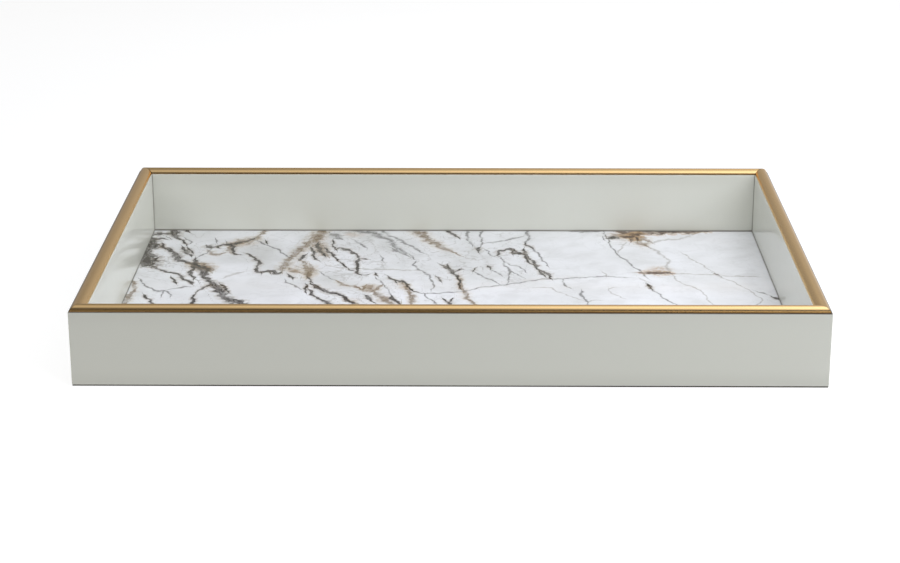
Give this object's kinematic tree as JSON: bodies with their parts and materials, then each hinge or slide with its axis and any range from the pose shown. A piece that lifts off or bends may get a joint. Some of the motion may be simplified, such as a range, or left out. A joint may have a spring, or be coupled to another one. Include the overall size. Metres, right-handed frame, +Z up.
{
  "type": "vanity tray",
  "caption": "Low rectangular dresser tray with mitred sage lacquered sides, a satin gold half-round rim and a glossy marble-pattern floor.",
  "frame": {"origin": "centre of the underside, on the surface that the tray stands on", "axes": "+X along the long side to the right, +Y from the front side to the back side, +Z up out of the open top"},
  "size_m": [0.45, 0.3, 0.05],
  "materials": {
    "lacquered_board": "pale sage satin lacquer on fibreboard",
    "gold_trim": "satin gold anodised",
    "marble_laminate": "high-gloss white marble-pattern laminate with brown and grey veins",
    "adhesive_sheet": "clear amber adhesive sheet",
    "raw_board": "raw fibreboard",
    "hardboard": "raw hardboard",
    "steel_brad": "bright wire",
    "felt": "dark brown needled felt"
  },
  "bodies": {
    "root": {"front_side": "lacquered_board", "back_side": "lacquered_board", "left_side": "lacquered_board", "right_side": "lacquered_board", "front_trim": "gold_trim", "back_trim": "gold_trim", "left_trim": "gold_trim", "right_trim": "gold_trim", "marble_panel": "marble_laminate", "panel_adhesive": "adhesive_sheet", "base_board": "raw_board", "corner_splines": "hardboard", "base_brads": "steel_brad", "felt_backing": "felt"}
  },
  "joints": []
}
